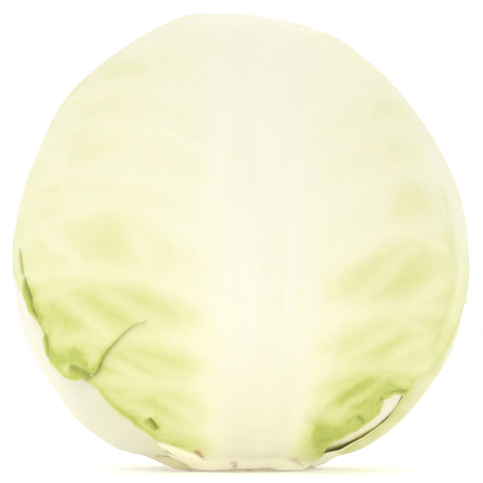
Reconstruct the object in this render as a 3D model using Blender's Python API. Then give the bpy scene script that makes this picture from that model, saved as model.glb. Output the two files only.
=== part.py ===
"""A trimmed head of white cabbage, standing on its cut stem.

Every layer of the head is a surface round one point, the head's middle. The packed
inner leaves lie innermost, and each wrapper leaf lies on what is under it. A wrapper
leaf is drawn flat, as a bearing from its tip and a reach from its middle, and is then
laid on the head. Its tip points up and its base meets the stem.
"""

import math
from dataclasses import dataclass, field

import bmesh
import bpy
import numpy as np

MM = 0.001

# The head. The outline is height and half width, up one side.
MIDDLE_HEIGHT = 76 * MM
HEAD_OUTLINE = [(3.8, 26), (8.5, 46), (17, 57.5), (30, 67.5), (47, 77), (68, 81.2), (93, 79),
                (115, 70.4), (132, 59), (145, 45.5), (154, 32), (160.8, 17), (163.2, 0)]
LEAN = 2.4 * MM
LUMP_HEIGHT = 0.3 * MM

# Where the head is fuller or flatter than its outline: the place's turn and height angle, its spread,
# and by how much
FULLER = [(-165, -45, 38, 3.9 * MM), (-95, -68, 30, 2.6 * MM), (0, 58, 22, 1.4 * MM), (0, 18, 14, 0.9 * MM),
          (0, -28, 14, 1.1 * MM), (180, 45, 14, 1.2 * MM), (180, -10, 20, 0.9 * MM),
          (180, 70, 12, -1.0 * MM)]

# Angles from straight down, seen from the head's middle: the stem's neck, and where the leaves begin round it
NECK_ANGLE = 19.4
RING_ANGLE = 20.6

# The wrapper leaves. PAD and FADE are how far past its margin, in degrees, a leaf still lifts those over it.
BLADE = 0.8 * MM
GAP = 0.7 * MM
FULL_STACK = 3.3
PAD = 7.0
FADE = 11.0
FRONT_TURN = -84.0
GOLDEN_TURN = 137.5
RIB_DEPTH_POWER = 1.6
RING_SPREAD = 0.92

# The packed inner leaves
OUTER_LEAVES = 5
INNER_LEAVES = 5
INNER_STEP = 0.8 * MM
INNER_RISE = 25.0
INNER_REACH = 72.0
INNER_EDGE = 7.0
HOLE_TOP = 40 * MM

# The stem and the bases of leaves that were cut away
FOOT_RADIUS = 24.4 * MM
FOOT_SHIFT = 1.2 * MM
RIM_RADIUS = 25.6 * MM
RIM_HEIGHT = 1.3 * MM
NECK_HEIGHT = 2.6 * MM
STEM_TOP = 38 * MM
STEM_SIDES = 40
CUT_BASE_DEPTH = 1.4 * MM
CUT_BASE_EDGE = 0.7 * MM

COLOURS = {
    "green leaf": ((0.66, 0.72, 0.30, 1.0), 0.42),
    "pale leaf": ((0.80, 0.80, 0.56, 1.0), 0.42),
    "inner leaf": ((0.84, 0.84, 0.66, 1.0), 0.45),
    "cut stem": ((0.80, 0.72, 0.52, 1.0), 0.6),
}


@dataclass
class Leaf:
    """One wrapper leaf, flat. Angles are degrees seen from the head's middle."""

    name: str
    turn: float
    tilt: float
    outline: list
    material: str
    spoke_step: float = 7.5
    rings: int = 11
    rib_inside: float = 2.0 * MM
    rib_outside: float = 0.6 * MM
    rib_width: tuple = (15.0, 8.0)
    base: float = -85.0
    length: float = 165.0
    thickness: float = BLADE
    curls: list = field(default_factory=list)
    steps: list = field(default_factory=list)


def smooth_step(x):
    x = np.clip(x, 0.0, 1.0)
    return x * x * (3 - 2 * x)


def smooth_curve(x, knots, values, period=None):
    """A curve through the values, without a kink, that never swings past them."""
    knots = np.asarray(knots, float)
    values = np.asarray(values, float)
    if period:
        knots = np.concatenate([knots[-2:] - period, knots, knots[:3] + period])
        values = np.concatenate([values[-2:], values, values[:3]])
        x = np.mod(x, period)
    spans = np.diff(knots)
    rises = np.diff(values) / spans
    slopes = np.zeros(len(knots))
    same_way = rises[:-1] * rises[1:] > 0
    mean = 2 * rises[:-1] * rises[1:] / np.where(same_way, rises[:-1] + rises[1:], 1.0)
    slopes[1:-1] = np.where(same_way, mean, 0.0)
    i = np.clip(np.searchsorted(knots, x, side="right") - 1, 0, len(spans) - 1)
    t = np.clip((x - knots[i]) / spans[i], 0.0, 1.0)
    start = (1 + 2 * t) * (1 - t) ** 2 * values[i] + t * (1 - t) ** 2 * spans[i] * slopes[i]
    end = t * t * (3 - 2 * t) * values[i + 1] - t * t * (1 - t) * spans[i] * slopes[i + 1]
    return start + end


def leaf_axes(leaf):
    """The directions out of the leaf's middle, towards its tip and to its right."""
    turn, tilt = math.radians(leaf.turn), math.radians(leaf.tilt)
    out = np.array([math.cos(tilt) * math.cos(turn), math.cos(tilt) * math.sin(turn), math.sin(tilt)])
    tip = np.array([-math.sin(tilt) * math.cos(turn), -math.sin(tilt) * math.sin(turn), math.cos(tilt)])
    return out, tip, np.cross(tip, out)


def direction_on(leaf, bearing, reach):
    out, tip, right = leaf_axes(leaf)
    b, r = np.radians(bearing)[..., None], np.radians(reach)[..., None]
    return np.cos(r) * out + np.sin(r) * (np.sin(b) * right + np.cos(b) * tip)


def place_on(leaf, d):
    """The bearing and the reach of a direction, on this leaf."""
    out, tip, right = leaf_axes(leaf)
    bearing = np.degrees(np.arctan2(d @ right, d @ tip))
    return bearing, np.degrees(np.arccos(np.clip(d @ out, -1.0, 1.0)))


def margin_of(leaf, bearing):
    bearings, reaches = zip(*leaf.outline)
    return smooth_curve(np.asarray(bearing, float), bearings, reaches, period=360.0)


def ring_reach(leaf, bearing):
    """How far a bearing runs before it meets the ring round the stem, or 180 where it misses it."""
    down = math.radians(90 + leaf.tilt)
    side = math.sin(down) * np.cos(np.radians(bearing - 180.0))
    along = math.cos(down)
    ratio = math.cos(math.radians(RING_ANGLE)) / np.hypot(along, side)
    reach = np.arctan2(side, along) - np.arccos(np.clip(ratio, -1.0, 1.0))
    return np.where((ratio <= 1.0) & (side > 0), np.degrees(reach), 180.0)


def towards(turn, rise):
    """The direction at a turn round the head and an angle above the level of its middle."""
    turn, rise = math.radians(turn), math.radians(rise)
    return np.array([math.cos(rise) * math.cos(turn), math.cos(rise) * math.sin(turn), math.sin(rise)])


def angle_from(d, turn, rise):
    return np.degrees(np.arccos(np.clip(d @ towards(turn, rise), -1.0, 1.0)))


def head_radius(d):
    """From the head's middle to its outside, for each direction."""
    heights, widths = np.array(HEAD_OUTLINE).T * MM
    below = heights - MIDDLE_HEIGHT
    height_angle = np.degrees(np.arcsin(np.clip(d[..., 2], -1.0, 1.0)))
    radius = smooth_curve(height_angle, np.degrees(np.arctan2(below, widths)), np.hypot(below, widths))
    lean = -LEAN * d[..., 0] * d[..., 2]
    lumps = np.sin(5 * d[..., 0] + 2 * d[..., 2] + 0.5) * np.cos(4 * d[..., 1] - 1.3 * d[..., 2] + 1.1)
    radius = radius + lean + LUMP_HEIGHT * lumps
    for turn, rise, spread, more in FULLER:
        radius = radius + more * np.exp(-((angle_from(d, turn, rise) / spread) ** 2))
    return radius


def rib_share(leaf, bearing, reach):
    """How much of the rib's depth a place has: all of it at the base, and less up the leaf."""
    across = reach * np.sin(np.radians(bearing))
    along = reach * np.cos(np.radians(bearing))
    up = np.clip((along - leaf.base) / leaf.length, 0.0, 1.0)
    width = leaf.rib_width[0] * (1 - up) + leaf.rib_width[1] * up
    return (1 - up) ** RIB_DEPTH_POWER * np.exp(-((across / width) ** 2))


def cover(leaf, d):
    """1 on the leaf and close round it, falling to 0 further out."""
    bearing, reach = place_on(leaf, d)
    beyond = reach - margin_of(leaf, bearing) - PAD
    return 1 - smooth_step(beyond / FADE)


def layer_height(leaf, d):
    """What the leaf adds to the height of the leaves that lie over it."""
    share = rib_share(leaf, *place_on(leaf, d))
    return (leaf.thickness + GAP + (leaf.rib_inside + leaf.rib_outside) * share) * cover(leaf, d)


def heart_radius(leaves, d):
    """The outside of the packed inner leaves, hollowed where a wrapper leaf's rib presses in."""
    ribs = sum(leaf.rib_inside * rib_share(leaf, *place_on(leaf, d)) * cover(leaf, d) for leaf in leaves)
    return head_radius(d) - FULL_STACK * (BLADE + GAP) - ribs


def inner_steps(d):
    """How far the heart's outside steps down, one step past the margin of each packed leaf."""
    depth = np.zeros(d.shape[:-1])
    for number in range(INNER_LEAVES):
        away = angle_from(d, turn_of(number + OUTER_LEAVES), INNER_RISE)
        depth += INNER_STEP * smooth_step((away - INNER_REACH) / INNER_EDGE)
    return depth


def curl_height(leaf, bearing, reach, margin):
    """How far the leaf stands off the head, where its margin curls outward."""
    height = np.zeros(np.shape(bearing))
    for middle, spread, width, rise in leaf.curls:
        aside = np.mod(bearing - middle + 180.0, 360.0) - 180.0
        height += rise * np.exp(-((aside / spread) ** 2)) * smooth_step(1 - (margin - reach) / width)
    for edge, fall, start, rise in leaf.steps:
        aside = np.mod(bearing - edge + 180.0, 360.0) - 180.0
        flap = np.where(aside > 0, smooth_step(1 - aside / fall), 0.0)
        height += rise * flap * smooth_step((reach - start) / 12.0)
    return height


def spokes_of(leaf):
    """Bearings of the leaf's spokes: one at each point of the outline, and more between them."""
    knots = [bearing for bearing, _ in leaf.outline]
    knots += [edge + side for edge, *_ in leaf.steps for side in (-0.5, 0.7)]
    knots = sorted(knots)
    spokes = []
    for start, end in zip(knots, knots[1:] + [knots[0] + 360.0]):
        parts = max(1, math.ceil((end - start) / leaf.spoke_step))
        spokes += [start + (end - start) * part / parts for part in range(parts)]
    return np.array(spokes)


def leaf_shells(leaf, under, leaves, bearing, reach, margin):
    """The leaf's outside and inside, as points, at each bearing and reach."""
    d = direction_on(leaf, bearing, reach)
    share = rib_share(leaf, bearing, reach)
    inside = heart_radius(leaves, d) + GAP + curl_height(leaf, bearing, reach, margin)
    for other in under:
        inside = inside + layer_height(other, d)
    outside = inside + leaf.thickness + (leaf.rib_inside + leaf.rib_outside) * share
    middle = np.array([0.0, 0.0, MIDDLE_HEIGHT])
    return middle + d * outside[..., None], middle + d * inside[..., None]


def evened(values, reach=3):
    """The same closed row of values, each the mean of those round it."""
    around = np.tile(values, 3)
    window = np.ones(2 * reach + 1) / (2 * reach + 1)
    return np.convolve(around, window, "same")[len(values):2 * len(values)]


def leaf_object(leaf, under, leaves):
    """The leaf's rings are smooth near its middle and take its margin's shape further out."""
    bearing = spokes_of(leaf)
    margin = margin_of(leaf, bearing)
    end = np.minimum(margin, ring_reach(leaf, bearing))
    share = (np.arange(1, leaf.rings + 1)[:, None] / leaf.rings) ** RING_SPREAD
    keep = smooth_step((share - 0.55) / 0.45)
    reach = share * (np.minimum(margin, evened(margin)) * (1 - keep) + end * keep)
    reach = np.minimum(reach, end * share ** 0.9)
    reach = np.concatenate([[0.0], reach.ravel()])
    bearings = np.concatenate([[0.0], np.tile(bearing, leaf.rings)])
    margins = np.concatenate([[margin.max()], np.tile(margin, leaf.rings)])
    outside, inside = leaf_shells(leaf, under, leaves, bearings, reach, margins)
    return shell_object(leaf.name, outside, inside, len(bearing), leaf.rings, leaf.material)


def shell_object(name, outside, inside, spokes, rings, material):
    """A closed shell from two sheets that are split into triangles alike."""
    faces = []
    for spoke in range(spokes):
        after = (spoke + 1) % spokes
        faces.append((0, 1 + after, 1 + spoke))
        for ring in range(rings - 1):
            a, b = 1 + ring * spokes + spoke, 1 + ring * spokes + after
            c, d = a + spokes, b + spokes
            faces += [(a, b, d), (a, d, c)]
    count = len(outside)
    faces += [tuple(count + corner for corner in reversed(face)) for face in faces]
    first = 1 + (rings - 1) * spokes
    for spoke in range(spokes):
        a, b = first + spoke, first + (spoke + 1) % spokes
        faces += [(a, b, count + b), (a, count + b, count + a)]
    return mesh_object(name, np.concatenate([outside, inside]), faces, material)


def mesh_object(name, points, faces, material):
    mesh = bpy.data.meshes.new(name)
    mesh.from_pydata([tuple(point) for point in points], [], faces)
    shape = bmesh.new()
    shape.from_mesh(mesh)
    bmesh.ops.recalc_face_normals(shape, faces=shape.faces)
    shape.to_mesh(mesh)
    shape.free()
    mesh.shade_smooth()
    mesh.set_sharp_from_angle(angle=math.radians(40))
    mesh.materials.append(bpy.data.materials[material])
    thing = bpy.data.objects.new(name, mesh)
    bpy.context.scene.collection.objects.link(thing)
    return thing


def packed_inner_leaves(leaves, columns=44, rows=20):
    """The tight heart of the head, with a plain hole for the stem."""
    angles = np.linspace(180 - RING_ANGLE, 0.0, rows + 1)[:-1]
    turns = np.arange(columns) * 360.0 / columns
    polar, turn = (np.radians(grid) for grid in np.meshgrid(angles, turns, indexing="ij"))
    d = np.stack([np.sin(polar) * np.cos(turn), np.sin(polar) * np.sin(turn), np.cos(polar)], axis=-1)
    radius = heart_radius(leaves, d) - inner_steps(d)
    middle = np.array([0.0, 0.0, MIDDLE_HEIGHT])
    skin = middle + d * radius[..., None]
    top = np.array([[0.0, 0.0, 1.0]])
    crown = middle + top * (heart_radius(leaves, top) - inner_steps(top))[:, None]
    wall_radius = (MIDDLE_HEIGHT - HOLE_TOP) * math.tan(math.radians(RING_ANGLE))
    hole = np.stack([wall_radius * np.cos(np.radians(turns)), wall_radius * np.sin(np.radians(turns)),
                     np.full(columns, HOLE_TOP)], axis=-1)
    points = np.concatenate([skin.reshape(-1, 3), crown, hole, [[0.0, 0.0, HOLE_TOP]]])
    crown_at = rows * columns
    hole_at = crown_at + 1
    faces = []
    for column in range(columns):
        after = (column + 1) % columns
        for row in range(rows - 1):
            a, b = row * columns + column, row * columns + after
            faces += [(a, b, b + columns), (a, b + columns, a + columns)]
        last = (rows - 1) * columns
        faces.append((last + column, last + after, crown_at))
        faces += [(after, column, hole_at + column), (after, hole_at + column, hole_at + after)]
        faces.append((hole_at + after, hole_at + column, hole_at + columns))
    return mesh_object("packed_inner_leaves", points, faces, "inner leaf")


def stem():
    """The stump: a flat cut foot with a rounded rim, and a neck that narrows into the heart."""
    neck = math.tan(math.radians(NECK_ANGLE))
    profile = [(0.0, FOOT_RADIUS), (0.4 * MM, FOOT_RADIUS + 0.8 * MM), (RIM_HEIGHT, RIM_RADIUS)]
    for height in np.linspace(NECK_HEIGHT, STEM_TOP, 4):
        profile.append((height, (MIDDLE_HEIGHT - height) * neck))
    points = []
    for height, radius in profile:
        low = 1 - smooth_step(height / NECK_HEIGHT)
        for side in range(STEM_SIDES):
            turn = 2 * math.pi * side / STEM_SIDES
            lobes = 1 + low * (0.018 * math.sin(3 * turn + 0.6) + 0.012 * math.sin(7 * turn))
            x = radius * lobes * math.cos(turn) + low * FOOT_SHIFT
            points.append((x, radius * lobes * math.sin(turn), height))
    shape = bmesh.new()
    corners = [shape.verts.new(point) for point in points]
    for level in range(len(profile) - 1):
        for side in range(STEM_SIDES):
            a, b = level * STEM_SIDES + side, level * STEM_SIDES + (side + 1) % STEM_SIDES
            shape.faces.new([corners[i] for i in (a, b, b + STEM_SIDES, a + STEM_SIDES)])
    shape.faces.new(corners[:STEM_SIDES][::-1])
    shape.faces.new(corners[-STEM_SIDES:])
    mesh = bpy.data.meshes.new("stem")
    shape.to_mesh(mesh)
    shape.free()
    mesh.shade_smooth()
    mesh.set_sharp_from_angle(angle=math.radians(40))
    mesh.materials.append(bpy.data.materials["cut stem"])
    thing = bpy.data.objects.new("stem", mesh)
    bpy.context.scene.collection.objects.link(thing)


def turn_of(number):
    """Each leaf inward grows a golden turn further round the stem."""
    return FRONT_TURN + GOLDEN_TURN * number


def wrapper_leaves():
    """From the innermost to the outermost. An outline is bearings from the tip, rightwards, with reaches."""
    back = Leaf("back_leaf", turn_of(4), 6, [
        (0, 76), (40, 72), (80, 62), (120, 60), (150, 66), (165, 78), (180, 92), (195, 78),
        (212, 66), (245, 60), (285, 64), (325, 72)],
        "pale leaf", spoke_step=9, rings=8)
    inner = Leaf("inner_leaf", turn_of(3), 0, [
        (0, 66), (45, 64), (90, 60), (130, 60), (152, 66), (166, 76), (180, 88), (187, 76),
        (196, 62), (212, 57), (240, 57), (280, 62), (320, 64)],
        "inner leaf", spoke_step=8, rings=8)
    left = Leaf("left_leaf", turn_of(2), 2, [
        (0, 76), (30, 76), (55, 74), (100, 81), (130, 80), (152, 76), (166, 80), (180, 92),
        (194, 80), (210, 74), (240, 74), (275, 73), (300, 60), (320, 56), (342, 64)],
        "pale leaf", rings=10)
    right = Leaf("right_leaf", turn_of(1), 5, [
        (0, 66), (22, 56), (45, 55), (70, 65), (95, 76), (135, 76), (155, 78), (168, 84),
        (180, 92), (196, 92), (207, 92), (220, 91), (228, 87), (234, 86), (244, 83), (254, 81),
        (266, 76), (280, 75), (310, 73), (340, 72)],
        "green leaf", rings=11, curls=[(213, 9, 14, 3.0 * MM)])
    front = Leaf("front_leaf", turn_of(0), 12, [
        (0, 96), (28, 99), (58, 99), (85, 93), (107, 84), (112, 75.5), (119, 74.5), (125, 71.5),
        (133, 66), (136, 68), (141, 66.5), (150, 69.5), (159, 71.5), (165, 78), (172, 90),
        (180, 92), (188, 90), (195, 79), (203, 77), (209, 72), (218, 69), (227.5, 66), (231, 70),
        (236, 75), (241, 75.5), (246, 71.5), (254, 75), (263, 83), (280, 91), (305, 96), (332, 98)],
        "green leaf", spoke_step=7, rings=13, rib_inside=1.8 * MM, rib_outside=0.9 * MM,
        curls=[(254, 7, 9, 1.0 * MM), (235, 5, 9, 1.2 * MM), (118, 10, 9, 1.0 * MM), (145, 12, 9, 0.9 * MM)],
        steps=[(229.3, 26, 44, 1.4 * MM)])
    return [back, inner, left, right, front]


def cut_leaf_bases(left, right):
    """Stubs of outer leaves that were cut away: thick at the stem, thin at the rim, and what each lies on."""
    stubs = []
    outline = [(0, 7), (50, 8), (90, 11), (135, 13), (180, 20), (225, 13), (270, 11), (310, 8)]
    for side, turn, size, on in (("left", -137, 0.62, [left]), ("right", 24, 1.0, [right]),
                                 ("back", 104, 1.0, [left, right])):
        stub = Leaf(f"cut_leaf_base_{side}", turn, -64, [(bearing, size * reach) for bearing, reach in outline],
                    "cut stem", spoke_step=26, rings=2, rib_inside=0.0, rib_outside=CUT_BASE_DEPTH,
                    rib_width=(16.0, 12.0), base=-6.0, length=13.0, thickness=CUT_BASE_EDGE)
        stubs.append((stub, on))
    return stubs


def make_materials():
    for name, (colour, roughness) in COLOURS.items():
        material = bpy.data.materials.new(name)
        material.use_nodes = True
        shader = material.node_tree.nodes["Principled BSDF"]
        shader.inputs["Base Color"].default_value = colour
        shader.inputs["Roughness"].default_value = roughness
        shader.inputs["Metallic"].default_value = 0.0


def main():
    for thing in list(bpy.data.objects):
        bpy.data.objects.remove(thing)
    make_materials()
    leaves = wrapper_leaves()
    packed_inner_leaves(leaves)
    stem()
    for number, leaf in enumerate(leaves):
        leaf_object(leaf, leaves[:number], leaves)
    for stub, on in cut_leaf_bases(leaves[2], leaves[3]):
        leaf_object(stub, leaves[:2] + on, leaves)


main()
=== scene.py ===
"""The dressed head of white cabbage: fine leaves, veins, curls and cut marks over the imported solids."""

import math
from dataclasses import dataclass, field
import bpy
import numpy as np
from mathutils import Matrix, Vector


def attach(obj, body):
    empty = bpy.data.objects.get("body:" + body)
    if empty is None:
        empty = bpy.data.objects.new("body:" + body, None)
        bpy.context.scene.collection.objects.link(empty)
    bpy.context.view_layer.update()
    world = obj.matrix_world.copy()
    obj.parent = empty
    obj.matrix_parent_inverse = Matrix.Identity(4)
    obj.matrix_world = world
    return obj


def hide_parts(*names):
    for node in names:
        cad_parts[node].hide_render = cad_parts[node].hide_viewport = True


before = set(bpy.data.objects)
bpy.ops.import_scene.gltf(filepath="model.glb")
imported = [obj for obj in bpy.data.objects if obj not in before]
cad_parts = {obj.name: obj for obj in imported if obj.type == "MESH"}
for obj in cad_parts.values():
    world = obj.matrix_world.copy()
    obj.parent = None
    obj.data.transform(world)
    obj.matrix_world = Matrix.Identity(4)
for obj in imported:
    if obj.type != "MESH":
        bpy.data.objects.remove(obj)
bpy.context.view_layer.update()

MM = 0.001

# The head, as the solids have it
MIDDLE_HEIGHT = 76 * MM
MIDDLE = np.array([0.0, 0.0, MIDDLE_HEIGHT])
HEAD_OUTLINE = [(3.8, 26), (8.5, 46), (17, 57.5), (30, 67.5), (47, 77), (68, 81.2), (93, 79),
                (115, 70.4), (132, 59), (145, 45.8), (155.2, 32.4), (161.6, 17), (163.8, 0)]
LEAN = 2.4 * MM
LUMP_HEIGHT = 0.3 * MM

# Where the head is fuller or flatter than its outline: the place's turn and height angle, its spread,
# and by how much
FULLER = [(-165, -45, 38, 3.9 * MM), (-95, -68, 30, 2.6 * MM), (0, 58, 22, 1.4 * MM), (0, 18, 14, 0.9 * MM),
          (0, -28, 14, 1.1 * MM), (180, 45, 14, 1.2 * MM), (180, -10, 20, 0.9 * MM),
          (180, 70, 12, -1.0 * MM), (0, 66, 9, -0.8 * MM)]
NECK_ANGLE = 19.4
RING_ANGLE = 20.6
BLADE = 0.8 * MM
GAP = 0.7 * MM
FULL_STACK = 3.3
PAD = 1.0
FADE = 9.0
FRONT_TURN = -84.0
GOLDEN_TURN = 137.5
RIB_DEPTH_POWER = 1.6

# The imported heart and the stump
OUTER_LEAVES = 5
INNER_LEAVES = 5
INNER_STEP = 0.8 * MM
INNER_RISE = 25.0
INNER_REACH = 72.0
INNER_EDGE = 5.0
HOLE_TOP = 40 * MM
FOOT_RADIUS = 24.4 * MM
FOOT_SHIFT = 1.2 * MM
RIM_RADIUS = 25.6 * MM
RIM_HEIGHT = 1.3 * MM
NECK_HEIGHT = 2.6 * MM
STEM_TOP = 38 * MM

# Towards its margin a leaf is thinner, tucked down, and lipped at the very edge. Widths are degrees.
THIN_EDGE = 0.35 * MM
THIN_WIDTH = 7.0
TUCK = 0.45 * MM
TUCK_WIDTH = 9.0
RIM_BULGE = 0.16 * MM

# How much closer together a leaf's rings of points lie towards its margin
RING_SPREAD = 1.25
LIP = 0.14 * MM
LIP_WIDTH = 4.0

# A leaf's unevenness, all over it and near its margin: its height and how fine it is
BUCKLE, BUCKLE_FINENESS = 0.10 * MM, 14.0
MARGIN_BUCKLE, MARGIN_FINENESS = 0.16 * MM, 40.0
LIP_FINENESS = 60.0

# Side veins: their height and spacing, and their headings in degrees from straight outwards, by height
VEIN_HEIGHT = 0.32 * MM
VEIN_SPACING = 12.5
VEIN_STEP = 2.5
LOWEST_VEIN, HIGHEST_VEIN = -60.0, 62.0
VEIN_HEADINGS = ([-60, -31, -18, 20, 40, 60], [2, 14, 32, 36, 48, 60])

# The forks of a side vein: how far along it, the turn off it in degrees, and the size
VEIN_FORKS = ((0.3, 30, 0.5), (0.45, -28, 0.5), (0.6, 26, 0.55), (0.78, -24, 0.4))

# The leaf bases swell down round the stump, and were cut off level with it
SWELL = 2.4 * MM
SWELL_ANGLE = 8.0
CUT_LEVEL = 0.45 * MM
CUT_SOFTNESS = 0.4 * MM
CUT_THICKNESS = 0.4 * MM

# The photograph: 483 pixels square, this much of the object to a pixel, seen from far away
PIXEL = 0.354 * MM
FRAME_PIXELS = 483
FOOT_PIXEL = 469
CENTRE_PIXEL = 240
LENS = 400
SENSOR = 36


@dataclass
class Leaf:
    """One wrapper leaf, flat. Angles are degrees seen from the head's middle.

    A curl is its bearing, spread, width and rise. The tear is its bearing, the reach that it
    starts at, and the flap's spread and rise. A dried stretch is its bearing, spread and width.
    """

    name: str
    turn: float
    tilt: float
    outline: list
    rib_inside: float = 2.0 * MM
    rib_outside: float = 0.6 * MM
    rib_width: tuple = (15.0, 8.0)
    base: float = -85.0
    length: float = 165.0
    thickness: float = BLADE
    curls: list = field(default_factory=list)
    tear: tuple = ()
    creases: list = field(default_factory=list)
    patches: list = field(default_factory=list)
    dried: list = field(default_factory=list)
    base_line: list = field(default_factory=list)
    marks: list = field(default_factory=list)
    greenness: float = 0.6
    serration: float = 0.5
    seed: int = 1
    spokes: int = 240
    rings: int = 70
    focus: tuple = ()


def smooth_step(x):
    x = np.clip(x, 0.0, 1.0)
    return x * x * (3 - 2 * x)


def smooth_curve(x, knots, values, period=None):
    """A curve through the values, without a kink, that never swings past them."""
    knots = np.asarray(knots, float)
    values = np.asarray(values, float)
    if period:
        knots = np.concatenate([knots[-2:] - period, knots, knots[:3] + period])
        values = np.concatenate([values[-2:], values, values[:3]])
        x = np.mod(x, period)
    spans = np.diff(knots)
    rises = np.diff(values) / spans
    slopes = np.zeros(len(knots))
    same_way = rises[:-1] * rises[1:] > 0
    mean = 2 * rises[:-1] * rises[1:] / np.where(same_way, rises[:-1] + rises[1:], 1.0)
    slopes[1:-1] = np.where(same_way, mean, 0.0)
    i = np.clip(np.searchsorted(knots, x, side="right") - 1, 0, len(spans) - 1)
    t = np.clip((x - knots[i]) / spans[i], 0.0, 1.0)
    start = (1 + 2 * t) * (1 - t) ** 2 * values[i] + t * (1 - t) ** 2 * spans[i] * slopes[i]
    end = t * t * (3 - 2 * t) * values[i + 1] - t * t * (1 - t) * spans[i] * slopes[i + 1]
    return start + end


def leaf_axes(leaf):
    """The directions out of the leaf's middle, towards its tip and to its right."""
    turn, tilt = math.radians(leaf.turn), math.radians(leaf.tilt)
    out = np.array([math.cos(tilt) * math.cos(turn), math.cos(tilt) * math.sin(turn), math.sin(tilt)])
    tip = np.array([-math.sin(tilt) * math.cos(turn), -math.sin(tilt) * math.sin(turn), math.cos(tilt)])
    return out, tip, np.cross(tip, out)


def direction_on(leaf, bearing, reach):
    out, tip, right = leaf_axes(leaf)
    b, r = np.radians(bearing)[..., None], np.radians(reach)[..., None]
    return np.cos(r) * out + np.sin(r) * (np.sin(b) * right + np.cos(b) * tip)


def place_on(leaf, d):
    """The bearing and the reach of a direction, on this leaf."""
    out, tip, right = leaf_axes(leaf)
    bearing = np.degrees(np.arctan2(d @ right, d @ tip))
    return bearing, np.degrees(np.arccos(np.clip(d @ out, -1.0, 1.0)))


def margin_of(leaf, bearing):
    bearings, reaches = zip(*leaf.outline)
    return smooth_curve(np.asarray(bearing, float), bearings, reaches, period=360.0)


def ring_reach(leaf, bearing):
    """How far a bearing runs before it meets the ring round the stem, or 180 where it misses it."""
    down = math.radians(90 + leaf.tilt)
    side = math.sin(down) * np.cos(np.radians(bearing - 180.0))
    along = math.cos(down)
    ratio = math.cos(math.radians(RING_ANGLE)) / np.hypot(along, side)
    reach = np.arctan2(side, along) - np.arccos(np.clip(ratio, -1.0, 1.0))
    return np.where((ratio <= 1.0) & (side > 0), np.degrees(reach), 180.0)


def towards(turn, rise):
    """The direction at a turn round the head and an angle above the level of its middle."""
    turn, rise = math.radians(turn), math.radians(rise)
    return np.array([math.cos(rise) * math.cos(turn), math.cos(rise) * math.sin(turn), math.sin(rise)])


def angle_from(d, turn, rise):
    return np.degrees(np.arccos(np.clip(d @ towards(turn, rise), -1.0, 1.0)))


def head_radius(d):
    """From the head's middle to its outside, for each direction."""
    heights, widths = np.array(HEAD_OUTLINE).T * MM
    below = heights - MIDDLE_HEIGHT
    height_angle = np.degrees(np.arcsin(np.clip(d[..., 2], -1.0, 1.0)))
    radius = smooth_curve(height_angle, np.degrees(np.arctan2(below, widths)), np.hypot(below, widths))
    lean = -LEAN * d[..., 0] * d[..., 2]
    lumps = np.sin(5 * d[..., 0] + 2 * d[..., 2] + 0.5) * np.cos(4 * d[..., 1] - 1.3 * d[..., 2] + 1.1)
    radius = radius + lean + LUMP_HEIGHT * lumps
    for turn, rise, spread, more in FULLER:
        radius = radius + more * np.exp(-((angle_from(d, turn, rise) / spread) ** 2))
    return radius


def rib_share(leaf, bearing, reach):
    """How much of the rib's depth a place has: all of it at the base, and less up the leaf."""
    across = reach * np.sin(np.radians(bearing))
    along = reach * np.cos(np.radians(bearing))
    up = np.clip((along - leaf.base) / leaf.length, 0.0, 1.0)
    width = leaf.rib_width[0] * (1 - up) + leaf.rib_width[1] * up
    return (1 - up) ** RIB_DEPTH_POWER * np.exp(-((across / width) ** 2))


def cover(leaf, d):
    """1 on the leaf and close round it, falling to 0 further out."""
    bearing, reach = place_on(leaf, d)
    beyond = reach - margin_of(leaf, bearing) - PAD
    return 1 - smooth_step(beyond / FADE)


def layer_height(leaf, d):
    """What the leaf adds to the height of the leaves that lie over it."""
    share = rib_share(leaf, *place_on(leaf, d))
    return (leaf.thickness + GAP + (leaf.rib_inside + leaf.rib_outside) * share) * cover(leaf, d)


def heart_radius(leaves, d):
    """From the head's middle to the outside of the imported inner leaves."""
    ribs = sum(leaf.rib_inside * rib_share(leaf, *place_on(leaf, d)) * cover(leaf, d) for leaf in leaves)
    return head_radius(d) - FULL_STACK * (BLADE + GAP) - ribs


def base_swell(d):
    """The swell of the leaf bases: full at the front of the head, and none at its back."""
    from_down = np.degrees(np.arccos(np.clip(-d[..., 2], -1.0, 1.0)))
    to_front = (d @ towards(FRONT_TURN, 0.0)) / np.maximum(np.sin(np.radians(from_down)), 0.05)
    near_ring = smooth_step(1 - (from_down - RING_ANGLE) / SWELL_ANGLE)
    return SWELL * near_ring * smooth_step((to_front + 0.2) / 0.6)


def above_cut(d, radius, lift=0.0):
    """The radius, held above the level that the leaf bases were cut at."""
    down = np.maximum(-d[..., 2], 0.3)
    limit = np.where(d[..., 2] < -0.3, (MIDDLE_HEIGHT - CUT_LEVEL - lift) / down, 1.0)
    over = (radius - limit) / CUT_SOFTNESS
    softened = limit - CUT_SOFTNESS * np.log1p(np.exp(-np.clip(over, -8, 30)))
    return np.where(over < -8, radius, softened)


def inner_steps(d):
    """How far the heart's outside steps in, where its own leaves end."""
    depth = np.zeros(d.shape[:-1])
    for number in range(INNER_LEAVES):
        away = angle_from(d, turn_of(number + OUTER_LEAVES), INNER_RISE)
        depth += INNER_STEP * smooth_step((away - INNER_REACH) / INNER_EDGE)
    return depth


def turn_of(number):
    return FRONT_TURN + GOLDEN_TURN * number


def ripple(d, count, fineness, seed):
    """Smooth, even unevenness over the head, between about -1 and 1."""
    draw = np.random.RandomState(seed)
    total = np.zeros(d.shape[:-1])
    for _ in range(count):
        axis = draw.normal(size=3)
        axis *= fineness * draw.uniform(0.7, 1.3) / np.linalg.norm(axis)
        total += np.sin(d @ axis + draw.uniform(0, 2 * math.pi))
    return total / math.sqrt(count)


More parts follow.
